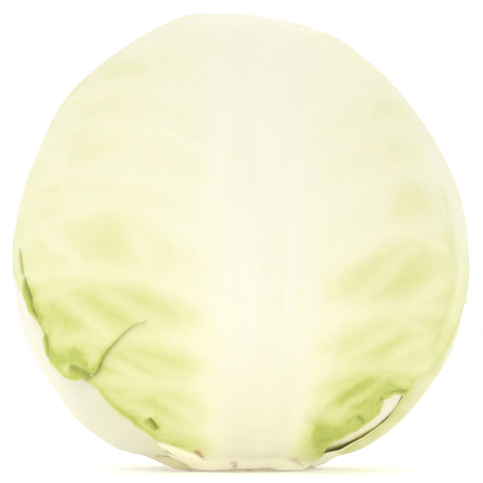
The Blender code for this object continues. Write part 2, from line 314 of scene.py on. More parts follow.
def along_lines(a, b, points):
    """The distance from a broken line, and how far along it as a share."""
    points = np.asarray(points, float)
    lengths = np.hypot(*np.diff(points, axis=0).T)
    before = np.concatenate([[0.0], np.cumsum(lengths)])
    best = np.full(a.shape, 1e9)
    share = np.zeros(a.shape)
    for i, length in enumerate(lengths):
        da, db = (points[i + 1] - points[i]) / length
        pa, pb = a - points[i][0], b - points[i][1]
        t = np.clip(pa * da + pb * db, 0.0, length)
        away = np.hypot(pa - t * da, pb - t * db)
        nearer = away < best
        best = np.where(nearer, away, best)
        share = np.where(nearer, (before[i] + t) / before[-1], share)
    return best, share


def vein_path(leaf, start, heading, bend, length, draw):
    """A vein's line on the flat leaf. Headings are degrees from straight outwards, up being positive."""
    outward = math.copysign(1.0, start[0])
    points = [start]
    for number in range(int(length / VEIN_STEP)):
        angle = math.radians(heading - bend * number * VEIN_STEP / 50.0 + draw.normal() * 3.0)
        a = points[-1][0] + outward * VEIN_STEP * math.cos(angle)
        b = points[-1][1] + VEIN_STEP * math.sin(angle)
        bearing = math.degrees(math.atan2(a, b)) % 360
        if math.hypot(a, b) > margin_of(leaf, np.array(bearing)) - 2.0:
            break
        points.append((a, b))
    return points


def veins_of(leaf):
    """Side veins up both sides of the rib, each with forks. A vein is a line, its width and its height."""
    draw = np.random.RandomState(leaf.seed)
    veins = []
    for outward in (-1.0, 1.0):
        b = LOWEST_VEIN + (5.0 if outward > 0 else 0.0)
        while b < HIGHEST_VEIN:
            heading = np.interp(b, *VEIN_HEADINGS) + draw.normal() * 2
            start = (outward * np.interp(b, [-60, 0, 60], [7, 5, 1.5]), b)
            bend = np.interp(b, [-60, -20, 60], [14, 20, 8])
            main = vein_path(leaf, start, heading, bend, 90.0, draw)
            size = np.interp(b, [-60, -20, 60], [0.9, 1.0, 0.55])
            veins.append((main, 1.9 * size, VEIN_HEIGHT * size))
            for share, turn_off, smaller in VEIN_FORKS:
                at = int(share * len(main))
                if 2 < at < len(main) - 1:
                    away = heading + turn_off + draw.normal() * 6
                    fork = vein_path(leaf, main[at], away, bend, 34.0, draw)
                    if len(fork) > 2:
                        veins.append((fork, 1.5 * size * smaller + 0.4, 0.8 * VEIN_HEIGHT * size * smaller))
            b += VEIN_SPACING + draw.uniform(-1.5, 1.5)
    return veins


def vein_relief(leaf, a, b):
    """How far the veins stand out, and how much of their paler colour shows, at each place."""
    relief = np.zeros(a.shape)
    pale = np.zeros(a.shape)
    for line, width, height in veins_of(leaf):
        line = np.asarray(line)
        low, high = line.min(axis=0) - 8, line.max(axis=0) + 8
        near = (a > low[0]) & (a < high[0]) & (b > low[1]) & (b < high[1])
        if not near.any():
            continue
        away, share = along_lines(a[near], b[near], line)
        fading = 1 - 0.75 * share
        narrow = width * (1 - 0.45 * share)
        relief[near] = np.maximum(relief[near], height * fading * np.exp(-((away / narrow) ** 2)))
        band = 0.9 * (1 - 0.5 * share) * np.exp(-((away / (2.3 * narrow + 0.9)) ** 2))
        pale[near] = np.maximum(pale[near], band * min(1.0, 0.35 + height / VEIN_HEIGHT))
    return relief, pale


def serrated(leaf, bearing, margin):
    """The margin with small uneven teeth and nicks."""
    draw = np.random.RandomState(leaf.seed + 50)
    radians = np.radians(bearing)
    teeth = np.zeros(bearing.shape)
    for waves in (23, 37, 61, 97, 151):
        size = draw.uniform(0.5, 1.0) / waves ** 0.5
        teeth += size * np.sin(waves * radians + draw.uniform(0, 2 * math.pi))
    return margin + leaf.serration * 2.2 * teeth


def curl_height(leaf, bearing, inside_margin):
    """How far the leaf's margin curls up, or down where it is pressed to the head."""
    height = np.zeros(np.shape(bearing))
    for middle, spread, width, rise in leaf.curls:
        aside = np.mod(bearing - middle + 180.0, 360.0) - 180.0
        height += rise * np.exp(-((aside / spread) ** 2)) * smooth_step(1 - inside_margin / width)
    return height


def spokes_of(leaf):
    """Bearings of the leaf's spokes, closer together where the leaf has its finest features."""
    fine = np.arange(0.0, 360.0, 0.05)
    density = np.ones(len(fine))
    for middle, spread, extra in leaf.focus:
        density += extra * np.exp(-((fine - middle) / spread) ** 2)
    total = np.cumsum(density)
    bearings = np.interp((np.arange(leaf.spokes) + 0.5) * total[-1] / leaf.spokes, total, fine)
    if leaf.tear:
        edge = leaf.tear[0]
        bearings = bearings[np.abs(bearings - edge) > 0.25]
        bearings = np.sort(np.concatenate([bearings, [edge - 0.06, edge + 0.06]]))
    return bearings


def evened(values, reach):
    """The values round the leaf, smoothed over this many spokes to each side."""
    around = np.tile(values, 3)
    window = np.hanning(2 * reach + 3)
    return np.convolve(around, window / window.sum(), "same")[len(values):2 * len(values)]


def follow_tear(leaf, bearing, reach):
    """How far each place is from the tear, and its bearing once the tear's own line is followed."""
    tear_at, start, _, _ = leaf.tear
    from_tear = np.mod(bearing - tear_at + 180.0, 360.0) - 180.0
    reaches, bearings = zip(*TEAR_LINE)
    wander = smooth_curve(np.clip(reach, reaches[0], reaches[-1]), reaches, bearings) - tear_at
    near = np.exp(-((from_tear / 8.0) ** 2)) * smooth_step((reach - start + 14) / 12.0)
    return from_tear, bearing + wander * near


def tear_relief(leaf, from_tear, reach):
    """The flap above the tear and the dent below it, the painted shadow under the flap, the greener colour
    round the tear, and how far the flap laps over.
    """
    _, start, spread, rise = leaf.tear
    open_share = smooth_step((reach - start) / 13.0) ** 0.8
    above = from_tear > 0
    flap = np.where(above, smooth_step(1 - from_tear / spread), 0.0)
    near_flap = np.where(above, np.exp(-((from_tear / 1.0) ** 2)), 0.0) * open_share
    below = np.where(above, 0.0, np.exp(-((from_tear / 1.3) ** 2))) * open_share
    height = rise * flap * open_share - 0.15 * MM * below
    overlap = -0.9 * np.where(above, smooth_step(1 - from_tear / 5.0), 0.0) * open_share
    return height, 0.35 * below, 0.30 * near_flap + 0.25 * below, overlap


def crease_relief(leaf, a, b):
    """The height of the leaf's creases, with the painted shade in their valleys and how much greener they
    are.
    """
    height = np.zeros(a.shape)
    painted_shade = np.zeros(a.shape)
    greener = np.zeros(a.shape)
    for line, depth, width, shade, tint in leaf.creases:
        away, along = along_lines(a, b, line)
        ends = smooth_step(np.minimum(along, 1 - along) / 0.12)
        bank = np.exp(-(((away - 2.2 * width) / (1.4 * width)) ** 2))
        height += ends * (0.45 * abs(depth) * bank - depth * np.exp(-((away / width) ** 2)))
        painted_shade = np.maximum(painted_shade, shade * np.exp(-((away / (0.9 * width)) ** 2)) * ends)
        greener += tint * np.exp(-((away / (3.0 * width)) ** 2)) * ends
    return height, painted_shade, greener


def marks_on(leaf, a, b):
    """How brown each place is from the nicks in the leaf's base."""
    scar = np.zeros(a.shape)
    for line, width, amount in leaf.marks:
        away, along = along_lines(a, b, line)
        scar = np.maximum(scar, amount * np.exp(-((away / (width * (1.15 - along))) ** 2)))
    return scar


def rib_tone(a, b):
    """1 on the pale rib and 0 away from it. Up the leaf the rib is wider and fainter."""
    half = 10.5 + 3.0 * np.clip((b + 70) / 150.0, 0.0, 1.0)
    rib = smooth_step(1 - (np.abs(a) - 0.55 * half) / (0.9 * half))
    return rib * (1 - 0.75 * smooth_step((b - 5) / 60))


def green_tone(leaf, d, a, b, inside_margin, pale, rib):
    """How green each place is: more away from the rib, low down and near the margin."""
    low = smooth_step((18.0 - b) / 60.0)
    away_rib = smooth_step((np.abs(a) - 6.0) / (42.0 - 20.0 * low))
    green = leaf.greenness * (0.16 + (0.34 + 0.44 * low) * away_rib)
    green += leaf.greenness * (0.12 + 0.22 * low) * smooth_step(1 - inside_margin / 30.0)
    green += 0.08 * ripple(d, 9, 9.0, leaf.seed + 11) * away_rib
    for pa, pb, spread, amount in leaf.patches:
        green += amount * np.exp(-(((a - pa) / spread) ** 2 + ((b - pb) / (0.6 * spread)) ** 2))
    green = green * (1 - 0.72 * pale) * (1 - 0.9 * rib)
    return green + 0.25 * leaf.greenness * smooth_step(1 - inside_margin / 3.0)


def base_tone(leaf, d, bearing, a, b, inside_margin):
    """1 where the leaf is cream: at its cut base, and where its margin has dried."""
    ragged = 0.8 * ripple(d, 7, 50.0, leaf.seed + 13)
    tone = np.zeros(a.shape)
    if leaf.base_line:
        across, height, softness = zip(*leaf.base_line)
        soft = np.interp(a, across, softness)
        tone = smooth_step((np.interp(a, across, height) - b + ragged) / soft + 0.3)
    for middle, spread, width in leaf.dried:
        window = smooth_step(1.6 * (1 - np.abs(bearing - middle) / spread))
        tone = np.maximum(tone, window * smooth_step(width - inside_margin - ragged))
    return tone


def leaf_surface(leaf, under, leaves, bearing, reach, margin):
    """The outside and inside radius of the leaf at each place, and what its colours are mixed from."""
    if leaf.tear:
        from_tear, bearing = follow_tear(leaf, bearing, reach)
    d = direction_on(leaf, bearing, reach)
    a, b = reach * np.sin(np.radians(bearing)), reach * np.cos(np.radians(bearing))
    inside_margin = np.maximum(margin - reach, 0.0)
    inside = heart_radius(leaves, d) + GAP + base_swell(d)
    for other in under:
        inside = inside + layer_height(other, d)

    near_edge = smooth_step(1 - inside_margin / TUCK_WIDTH)
    inside += BUCKLE * ripple(d, 9, BUCKLE_FINENESS, leaf.seed + 7)
    inside += MARGIN_BUCKLE * near_edge * ripple(d, 9, MARGIN_FINENESS, leaf.seed + 8)
    curl = curl_height(leaf, bearing, inside_margin)
    inside += curl - TUCK * near_edge * (1 - smooth_step(curl / (0.8 * MM)))
    unevenness = 1 + ripple(d, 7, LIP_FINENESS, leaf.seed + 9)
    inside += LIP * smooth_step(1 - inside_margin / LIP_WIDTH) * unevenness
    folded, painted_shade, greener = crease_relief(leaf, a, b)
    inside += folded
    if leaf.tear:
        torn, flap_painted_shadow, torn_green, overlap = tear_relief(leaf, from_tear, reach)
        inside += torn
        painted_shade = np.maximum(painted_shade, flap_painted_shadow)
        greener += torn_green
        d = direction_on(leaf, bearing + overlap, reach)

    relief, pale = vein_relief(leaf, a, b)
    relief = relief * smooth_step(inside_margin / 5.0 + 0.2)
    thickness = THIN_EDGE + (leaf.thickness - THIN_EDGE) * smooth_step(inside_margin / THIN_WIDTH)
    inside += (leaf.thickness - thickness) * 0.5
    rib_depth = (leaf.rib_inside + leaf.rib_outside) * rib_share(leaf, bearing, reach)
    scar = marks_on(leaf, a, b)
    outside = above_cut(d, inside + thickness + rib_depth + relief) - 0.5 * MM * scar
    inside = above_cut(d, inside, CUT_THICKNESS)

    centre = np.exp(-(((a - 2.5) / 1.8) ** 2)) * smooth_step((-30.0 - b) / 20.0)
    rib = rib_tone(a, b) * (1 - 0.35 * centre)
    green = green_tone(leaf, d, a, b, inside_margin, pale, rib) + greener + 0.16 * centre
    facts = {"green": np.clip(green, 0, 1), "rib": rib,
             "scar": np.clip(scar, 0, 1), "painted_shade": np.clip(painted_shade, 0, 1),
             "base": base_tone(leaf, d, bearing, a, b, inside_margin),
             "edge": smooth_step(1 - inside_margin / 1.2), "across": a / 90.0, "along": b / 90.0}
    return d, outside, inside, facts


def strip(first, second, count):
    """Four-sided faces between two rings of points, each given by its first point's number."""
    spokes = np.arange(count)
    after = (spokes + 1) % count
    return np.stack([first + spokes, first + after, second + after, second + spokes], axis=1)


def leaf_piece(leaf, under, leaves, material):
    """The leaf as one closed shell: a fine outside, a plainer inside, and a rounded rim between them."""
    bearing = spokes_of(leaf)
    count = len(bearing)
    plain = margin_of(leaf, bearing)
    ring = ring_reach(leaf, bearing)
    teeth = serrated(leaf, bearing, plain)
    end = np.minimum(np.where(ring < plain, ring, teeth), ring)
    calm = np.minimum(evened(np.minimum(plain, ring), max(3, count // 30)), end)

    def grid(rings):
        t = np.arange(1, rings + 1)[:, None] / rings
        share = np.sin(t * RING_SPREAD) / math.sin(RING_SPREAD)
        keep = smooth_step((share - 0.55) / 0.45)
        reach = share * (calm * (1 - keep) + end * keep)
        return np.minimum(reach, end * share ** 0.9)

    def flat(rings):
        reach = grid(rings)
        bearings = np.tile(bearing, rings)
        margins = np.tile(teeth, rings)
        reach = np.concatenate([[0.0], reach.ravel()])
        return (np.concatenate([[0.0], bearings]), reach,
                np.concatenate([[max(teeth.max(), 60.0)], margins]))

    inner_rings = max(8, leaf.rings // 5)
    d, outside, _, facts = leaf_surface(leaf, under, leaves, *flat(leaf.rings))
    outer_points = MIDDLE + d * outside[:, None]
    d_in, _, inside, facts_in = leaf_surface(leaf, under, leaves, *flat(inner_rings))
    inner_points = MIDDLE + d_in * inside[:, None]
    rim = 0.5 * (outer_points[-count:] + inner_points[-count:])
    outward = outer_points[-count:] - outer_points[-2 * count:-count]
    outward /= np.linalg.norm(outward, axis=1)[:, None]
    rim = rim + outward * RIM_BULGE
    points = np.concatenate([outer_points, rim, inner_points])
    values = {name: np.concatenate([facts[name], facts[name][-count:], facts_in[name]]) for name in facts}
    spokes = np.arange(count)
    after = (spokes + 1) % count
    triangles = [np.stack([np.zeros(count, int), 1 + after, 1 + spokes], axis=1)]
    quads = []
    for number in range(leaf.rings - 1):
        a = 1 + number * count
        quads.append(strip(a, a + count, count))
    last = 1 + (leaf.rings - 1) * count
    rim_at = len(outer_points)
    in_at = rim_at + count
    in_last = in_at + 1 + (inner_rings - 1) * count
    quads.append(strip(last, rim_at, count))
    quads.append(strip(rim_at, in_last, count))
    for number in range(inner_rings - 1):
        a = in_at + 1 + number * count
        quads.append(strip(a + count, a, count))
    triangles.append(np.stack([np.full(count, in_at), in_at + 1 + spokes, in_at + 1 + after], axis=1))
    faces = np.concatenate(triangles).tolist() + np.concatenate(quads).tolist()
    piece_from(leaf.name.capitalize(), points, faces, material, values, leaf.name)


def piece_from(name, points, faces, material, values, node):
    """A piece of the head in place of one solid. The values are numbers at its points, for its colours."""
    mesh = bpy.data.meshes.new(name)
    mesh.from_pydata(np.asarray(points).tolist(), [], faces)
    for key, data in values.items():
        layer = mesh.attributes.new(key, "FLOAT", "POINT")
        layer.data.foreach_set("value", np.asarray(data, dtype=np.float32))
    mesh.shade_smooth()
    mesh.materials.append(material)
    piece = bpy.data.objects.new(name, mesh)
    bpy.context.scene.collection.objects.link(piece)
    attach(piece, "root")
    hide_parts(node)


def linear(r, g, b):
    """A display colour, 0 to 255, as the light that a shader works in."""
    parts = [c / 255.0 for c in (r, g, b)]
    return tuple(p / 12.92 if p <= 0.04045 else ((p + 0.055) / 1.055) ** 2.4 for p in parts)


class Shader:
    """A material, with short ways to add its nodes."""

    def __init__(self, name):
        self.material = bpy.data.materials.new(name)
        self.material.use_nodes = True
        self.tree = self.material.node_tree
        self.principled = self.tree.nodes["Principled BSDF"]

    def put(self, socket, value):
        if isinstance(value, bpy.types.NodeSocket):
            self.tree.links.new(value, socket)
        else:
            socket.default_value = value

    def surface(self, name, value):
        self.put(self.principled.inputs[name], value)

    def node(self, kind, inputs, **settings):
        """A new node. Each input is set to a value or joined to another node's output."""
        made = self.tree.nodes.new(kind)
        for key, value in settings.items():
            setattr(made, key, value)
        for key, value in inputs.items():
            self.put(made.inputs[key], value)
        return made

    def value(self, name):
        made = self.node("ShaderNodeAttribute", {}, attribute_type="GEOMETRY", attribute_name=name)
        return made.outputs["Fac"]

    def place(self):
        return self.node("ShaderNodeTexCoord", {}).outputs["Object"]

    def sum(self, operation, first, second, clamp=False):
        inputs = {0: first, 1: second}
        return self.node("ShaderNodeMath", inputs, operation=operation, use_clamp=clamp).outputs[0]

    def scaled(self, value, factor, shift):
        inputs = {0: value, 1: factor, 2: shift}
        return self.node("ShaderNodeMath", inputs, operation="MULTIPLY_ADD").outputs[0]

    def mix(self, share, first, second):
        inputs = {0: share, 6: first, 7: second}
        return self.node("ShaderNodeMix", inputs, data_type="RGBA").outputs[2]

    def over(self, colour, share, most, added):
        """The colour with another over it, by the share at each place times the most that shows."""
        return self.mix(self.sum("MULTIPLY", share, most), colour, added)

    def noise(self, vector, scale, detail=3.0, roughness=0.5):
        inputs = {"Vector": vector, "Scale": scale, "Detail": detail, "Roughness": roughness}
        return self.node("ShaderNodeTexNoise", inputs).outputs["Fac"]

    def streaks(self, squeeze, *grain):
        """Noise drawn out along the leaf, whose length is squeezed by this factor."""
        inputs = {0: self.value("across"), 1: self.sum("MULTIPLY", self.value("along"), squeeze)}
        return self.noise(self.node("ShaderNodeCombineXYZ", inputs).outputs[0], *grain)

    def network(self, vector, scale):
        """The distance from the lines of a fine net, small on the lines."""
        inputs = {"Vector": vector, "Scale": scale}
        return self.node("ShaderNodeTexVoronoi", inputs, feature="DISTANCE_TO_EDGE").outputs["Distance"]

    def band(self, value, low, high, to_low=0.0, to_high=1.0):
        inputs = {"Value": value, "From Min": low, "From Max": high, "To Min": to_low, "To Max": to_high}
        return self.node("ShaderNodeMapRange", inputs, interpolation_type="SMOOTHSTEP").outputs["Result"]

    def ramp(self, value, stops):
        made = self.node("ShaderNodeValToRGB", {"Fac": value})
        elements = made.color_ramp.elements
        while len(elements) < len(stops):
            elements.new(0.5)
        for element, (at, colour) in zip(elements, stops):
            element.position = at
            element.color = colour
        return made.outputs["Color"]

    def bump(self, height, strength, distance, under=None):
        inputs = {"Height": height, "Strength": strength, "Distance": distance}
        if under is not None:
            inputs["Normal"] = under
        return self.node("ShaderNodeBump", inputs).outputs["Normal"]


# The light is bright, so every surface is painted this much darker than it looks
DIM = 0.85


def paint(r, g, b, light=1.0):
    """A display colour, 0 to 255, as a surface in this light needs it. A light above 1 paints the colour
    brighter than its own, as painted light; below 1 paints it darker, as painted shade.
    """
    return tuple(DIM * light * c for c in linear(r, g, b)) + (1.0,)


def leaf_material(name, seed, stops, rib_colour, vein_share=0.05, light=1.0, painted_shade_colour=(112, 128, 28)):
    m = Shader(name)
    shift = (seed * 0.37, seed * 0.21, seed * 0.13)
    where = m.node("ShaderNodeVectorMath", {0: m.place(), 1: shift}, operation="ADD").outputs[0]
    broad = m.noise(where, 34.0, 3.0, 0.55)
    small = m.noise(where, 260.0, 2.0, 0.6)
    green = m.sum("ADD", m.value("green"), m.scaled(broad, 0.34, -0.17))
    green = m.sum("MULTIPLY", green, m.band(m.value("rib"), 0.0, 1.0, 1.0, 0.25), clamp=True)
    green = m.sum("ADD", green, m.scaled(small, 0.12, -0.06), clamp=True)
    wander = m.node("ShaderNodeTexNoise", {"Vector": where, "Scale": 150.0}).outputs["Color"]
    inputs = {0: wander, 1: (0.006, 0.006, 0.006), 2: where}
    bent = m.node("ShaderNodeVectorMath", inputs, operation="MULTIPLY_ADD")
    net = m.network(bent.outputs[0], 300.0)
    net_line = m.band(net, 0.0, 0.22, 1.0, 0.0)
    green = m.sum("MULTIPLY", green, m.band(net_line, 0.0, 1.0, 1.0, 1.0 - vein_share), clamp=True)
    colour = m.ramp(green, [(at, paint(*rgb, light=light)) for at, rgb in stops])
    streaks = m.streaks(0.06, 30.0, 2.0, 0.5)
    rib_tint = m.mix(m.band(streaks, 0.3, 0.75), paint(*rib_colour[0], light=light),
                     paint(*rib_colour[1], light=light))
    # Low down the rib turns darker and yellower: partly its own yellower colour, partly painted shade on the
    # lower part of the head
    low_tint_and_shade = paint(244, 240, 205, light=light)
    rib_tint = m.mix(m.band(m.value("along"), -0.25, -0.7, 0.0, 0.75), rib_tint, low_tint_and_shade)
    colour = m.over(colour, m.value("rib"), 0.85, rib_tint)
    # Painted shade: the valleys of creases, the shadow under the torn flap and the shaded gap under a margin
    # are darkened with this colour
    colour = m.over(colour, m.value("painted_shade"), 0.85, paint(*painted_shade_colour))
    # The cut base's own cream, painted brighter than it is (1.17) as painted light against the shade under
    # the head
    colour = m.over(colour, m.value("base"), 0.92, paint(255, 249, 224, light=1.17))
    browned = m.mix(small, paint(150, 104, 52), paint(222, 170, 104))
    colour = m.mix(m.value("scar"), colour, browned)
    colour = m.over(colour, m.value("edge"), 0.6, paint(242, 238, 160))
    m.surface("Base Color", colour)
    rough = m.band(m.noise(where, 120.0, 3.0), 0.3, 0.7, 0.36, 0.52)
    m.surface("Roughness", rough)
    raised = m.sum("ADD", m.sum("MULTIPLY", net_line, 0.5), m.sum("MULTIPLY", small, 0.5))
    normal = m.bump(raised, 0.22, 0.0004)
    ridged = m.sum("MULTIPLY", streaks, m.value("rib"))
    normal = m.bump(ridged, 0.10, 0.0005, normal)
    m.surface("Normal", normal)
    m.surface("Specular IOR Level", 0.35)
    m.surface("Subsurface Weight", 0.22)
    m.surface("Subsurface Radius", (1.0, 0.9, 0.4))
    m.surface("Subsurface Scale", 2.0 * MM)
    return m.material


GREEN_STOPS = [(0.0, (255, 251, 226)), (0.22, (252, 249, 212)), (0.45, (243, 242, 187)),
               (0.68, (232, 234, 160)), (0.86, (219, 223, 128)), (1.0, (194, 205, 88))]
PALE_STOPS = [(0.0, (247, 243, 224)), (0.3, (244, 241, 214)), (0.6, (237, 237, 190)), (1.0, (218, 222, 140))]
RIB_COLOURS = ((254, 251, 236), (252, 249, 225))


def wrapper_leaves():
    """From the innermost to the outermost, each with the outline of its solid."""
    back = Leaf("back_leaf", turn_of(4), 6, [
        (0, 76), (40, 72), (80, 62), (120, 60), (150, 66), (165, 78), (180, 92), (195, 78),
        (212, 66), (245, 60), (285, 64), (325, 72)], seed=31, greenness=0.45)
    inner = Leaf("inner_leaf", turn_of(3), 0, [
        (0, 66), (45, 64), (90, 60), (130, 60), (152, 66), (166, 76), (180, 88), (187, 76),
        (196, 62), (212, 57), (240, 57), (280, 62), (320, 64)], seed=43, greenness=0.25, serration=0.2,
        # This crease is a painted shade line: an olive band where the gap under the right leaf's margin lies
        # in shade, coloured as it looks with light coming through the leaf
        creases=[([(-14.5, -56.6), (-9.1, -57.4), (-7.7, -56.6), (-5.5, -55.7), (-3.2, -54.2), (-2.8, -52.3),
                   (-1.5, -50.9), (-0.2, -49.3), (1.0, -47.6)], 0.1 * MM, 1.6, 1.0, 0.2)])
    left = Leaf("left_leaf", turn_of(2), 2, [
        (0, 76), (30, 76), (55, 74), (100, 81), (130, 80), (152, 76), (166, 80), (180, 92),
        (194, 80), (210, 74), (240, 74), (275, 73), (300, 60), (320, 56), (342, 64)],
        seed=17, greenness=0.5, spokes=280, rings=78)
    right = Leaf("right_leaf", turn_of(1), 5, [
        (0, 66), (22, 56), (45, 55), (70, 65), (95, 76), (135, 76), (155, 78), (168, 84),
        (180, 92), (196, 94), (207, 98), (212, 99.5), (214.5, 97), (216.2, 94.8), (218.2, 92.6),
        (220.2, 90.8), (222, 89.4), (224.5, 87.6), (228, 86.2), (232, 85.4), (238, 85), (244, 84.5),
        (254, 82), (266, 76), (280, 75), (310, 73), (340, 72)],
        seed=5, greenness=0.64, spokes=300, rings=80,
        curls=[(214.5, 4.5, 9, 0.25 * MM), (233, 12, 7, -0.22 * MM)], focus=[(217, 20, 1.8)],
        dried=[(215, 8, 1.6)],
        base_line=[(-62, -86, 3.0), (-50, -79, 3.0), (-42, -77, 3.0), (-37, -77.5, 3.0), (-30, -82, 3.0),
                   (-20, -90, 3.0)])
    front = Leaf("front_leaf", turn_of(0), 12, [
        (0, 96), (28, 99), (58, 99), (85, 93), (100, 88), (106.5, 78), (111, 75.5), (115.5, 73.8),
        (121, 72.7), (127, 72), (132.5, 69), (135.5, 70), (139, 66.4), (142, 66), (145, 68.4),
        (149, 69.6), (154, 70.2), (157.5, 70.8), (160.5, 72), (162.5, 77), (167, 88), (172, 91),
        (180, 92), (188, 91), (193, 85), (198, 81), (202, 76), (205, 72.5), (207.5, 71), (211, 70.3),
        (220, 70), (225.5, 69), (229.4, 69.6), (229.6, 64.6), (230.4, 68), (231.3, 70.6), (232.5, 72.8),
        (234.5, 74.2), (236.5, 75.2), (239.2, 76.3), (241.8, 75.5), (244, 75.2), (245.2, 73.7),
        (247.5, 73.9), (249.5, 74.7), (252.5, 75.8), (255.5, 77), (258.5, 79.8), (262, 83.2), (267, 87),
        (280, 91), (305, 96), (332, 98)],
        rib_inside=1.8 * MM, rib_outside=0.9 * MM, seed=3, greenness=0.62, spokes=420, rings=112,
        curls=[(254, 7, 9, 0.9 * MM), (236, 5, 9, 0.9 * MM), (116, 8, 8, 0.6 * MM), (142, 10, 8, 0.5 * MM)],
        tear=(229.5, 40, 22, 1.4 * MM),
        focus=[(240, 26, 2.0), (135, 28, 1.6), (229.5, 3, 3.0), (180, 60, 0.5)],
        creases=FRONT_CREASES, patches=FRONT_PATCHES, marks=FRONT_MARKS, base_line=FRONT_BASE)
    return [back, inner, left, right, front]


# Creases on the front leaf: a line, its depth, its width, how much painted shade lies along it and how much
# greener round it
FRONT_CREASES = [
    ([(-77.7, -1.4), (-76.4, -7.0), (-75.6, -11.6)], 0.6 * MM, 0.6, 0.75, 0.35),
    ([(-74.8, -10.8), (-74.0, -14.7), (-71.0, -19.0), (-69.9, -23.4), (-67.6, -28.6)],
     0.9 * MM, 0.8, 0.85, 0.6),
    ([(-66.3, -30.8), (-65.4, -34.1), (-65.3, -36.9), (-65.0, -39.6)], 0.8 * MM, 0.8, 0.7, 0.6),
    ([(-56.6, -40.8), (-53.2, -41.6), (-50.0, -42.8)], 1.0 * MM, 1.2, 0.5, 0.95),
    ([(-32.0, -56.2), (-30.4, -58.3), (-29.2, -60.6)], 0.7 * MM, 0.8, 0.9, 0.4),
    ([(25.0, -48.4), (28.2, -51.9), (29.6, -54.0), (32.0, -57.1)], 0.45 * MM, 1.3, 0.02, 0.08),
    ([(30.9, -56.3), (33.0, -57.4), (34.8, -59.0)], 0.5 * MM, 0.7, 0.6, 0.25),
    ([(38.0, -51.0), (39.4, -51.6), (40.8, -51.4)], 0.5 * MM, 0.7, 0.6, 0.25),
    ([(41.0, -49.6), (44.5, -49.0), (49.4, -49.2)], 0.4 * MM, 0.6, 0.5, 0.2),
    ([(12.7, -52.8), (16.0, -56.0), (21.1, -60.4)], 0.4 * MM, 1.1, 0.05, 0.18),
    ([(18.0, -66.0), (22.0, -64.0), (31.0, -62.5)], 0.4 * MM, 1.0, 0.12, 0.18),
    ([(17.6, -66.0), (17.6, -58.4), (19.6, -53.0), (23.6, -48.4), (30.0, -46.6), (39.0, -45.5),
      (45.5, -45.2)], 0.35 * MM, 1.0, 0.04, 0.16),
    ([(58.1, 16.4), (60.1, 6.7), (60.4, -3.4), (61.8, -9.9), (60.0, -18.4), (57.0, -26.6), (54.0, -37.7)],
     0.35 * MM, 1.4, 0.05, 0.22),
]

# Where the front leaf's tear runs: reaches with bearings
TEAR_LINE = [
    (30, 226.5), (42, 227.6), (43.5, 229.3), (46.8, 230.4), (50.5, 230.8), (55.5, 230.6),
    (59.8, 229.7), (62.8, 228.9), (66.0, 228.9), (69.0, 229.4),
]

# Greener patches between the veins: across, along, size and how much
FRONT_PATCHES = [
    (-30, -23, 15, 0.30), (-34, -36, 14, 0.24), (-40, -52, 16, 0.14), (-21, -62, 13, 0.26),
    (-59, -20, 15, 0.14), (-58, -36, 12, 0.24), (-44, -3, 18, 0.08), (-30, 2, 12, 0.08),
    (-46, -15, 20, 0.10), (-50, 32, 15, 0.06), (-28, 46, 14, 0.10), (29, -43, 15, 0.26),
    (26, -58, 13, 0.36), (36, -55, 11, 0.36), (43, -50, 10, 0.16), (41, -28, 15, 0.20),
    (22, -20, 12, 0.14), (36, -16, 14, 0.16), (20, -67, 10, 0.34), (46, 6, 15, 0.06),
    (32, 40, 15, 0.04), (60, 45, 18, -0.16), (62, 5, 16, -0.16), (58, 24, 14, -0.12),
    (66, -18, 12, -0.10), (38, 44, 16, -0.12), (61, -21, 10, -0.10), (-62, 11, 12, 0.12),
    (-23, -46, 10, 0.09), (36, -40, 9, 0.14), (32, -52, 7, 0.10),
]

# Above its cut base the front leaf turns cream: across, along and how softly
FRONT_BASE = [
    (-36, -66.0, 1.0), (-30.8, -65.0, 1.0), (-24.4, -66.6, 1.0), (-18, -69.2, 1.2), (-12, -72.5, 4.0),
    (0, -74, 9.0), (12, -74, 8.0), (16, -74.8, 4.0), (19, -75.8, 3.5), (22, -76.8, 3.0),
    (26, -78.4, 3.0), (30, -81.5, 2.0),
]

# Browned nicks at the base of the front leaf: a line, its width and how much
FRONT_MARKS = [
    ([(-28.4, -70.2), (-26.7, -71.4), (-25.2, -73.0)], 0.7, 0.75),
    ([(-17.4, -68.4), (-16.1, -71.2), (-15.0, -74.4)], 0.9, 1.0),
    ([(-5.7, -77.3), (-4.3, -82.6)], 0.9, 0.6), ([(14.4, -74.7), (17.4, -77.1), (20.6, -79.7)], 1.2, 0.4),
    ([(-31.4, -65.6), (-27.7, -65.4)], 0.6, 0.5),
]


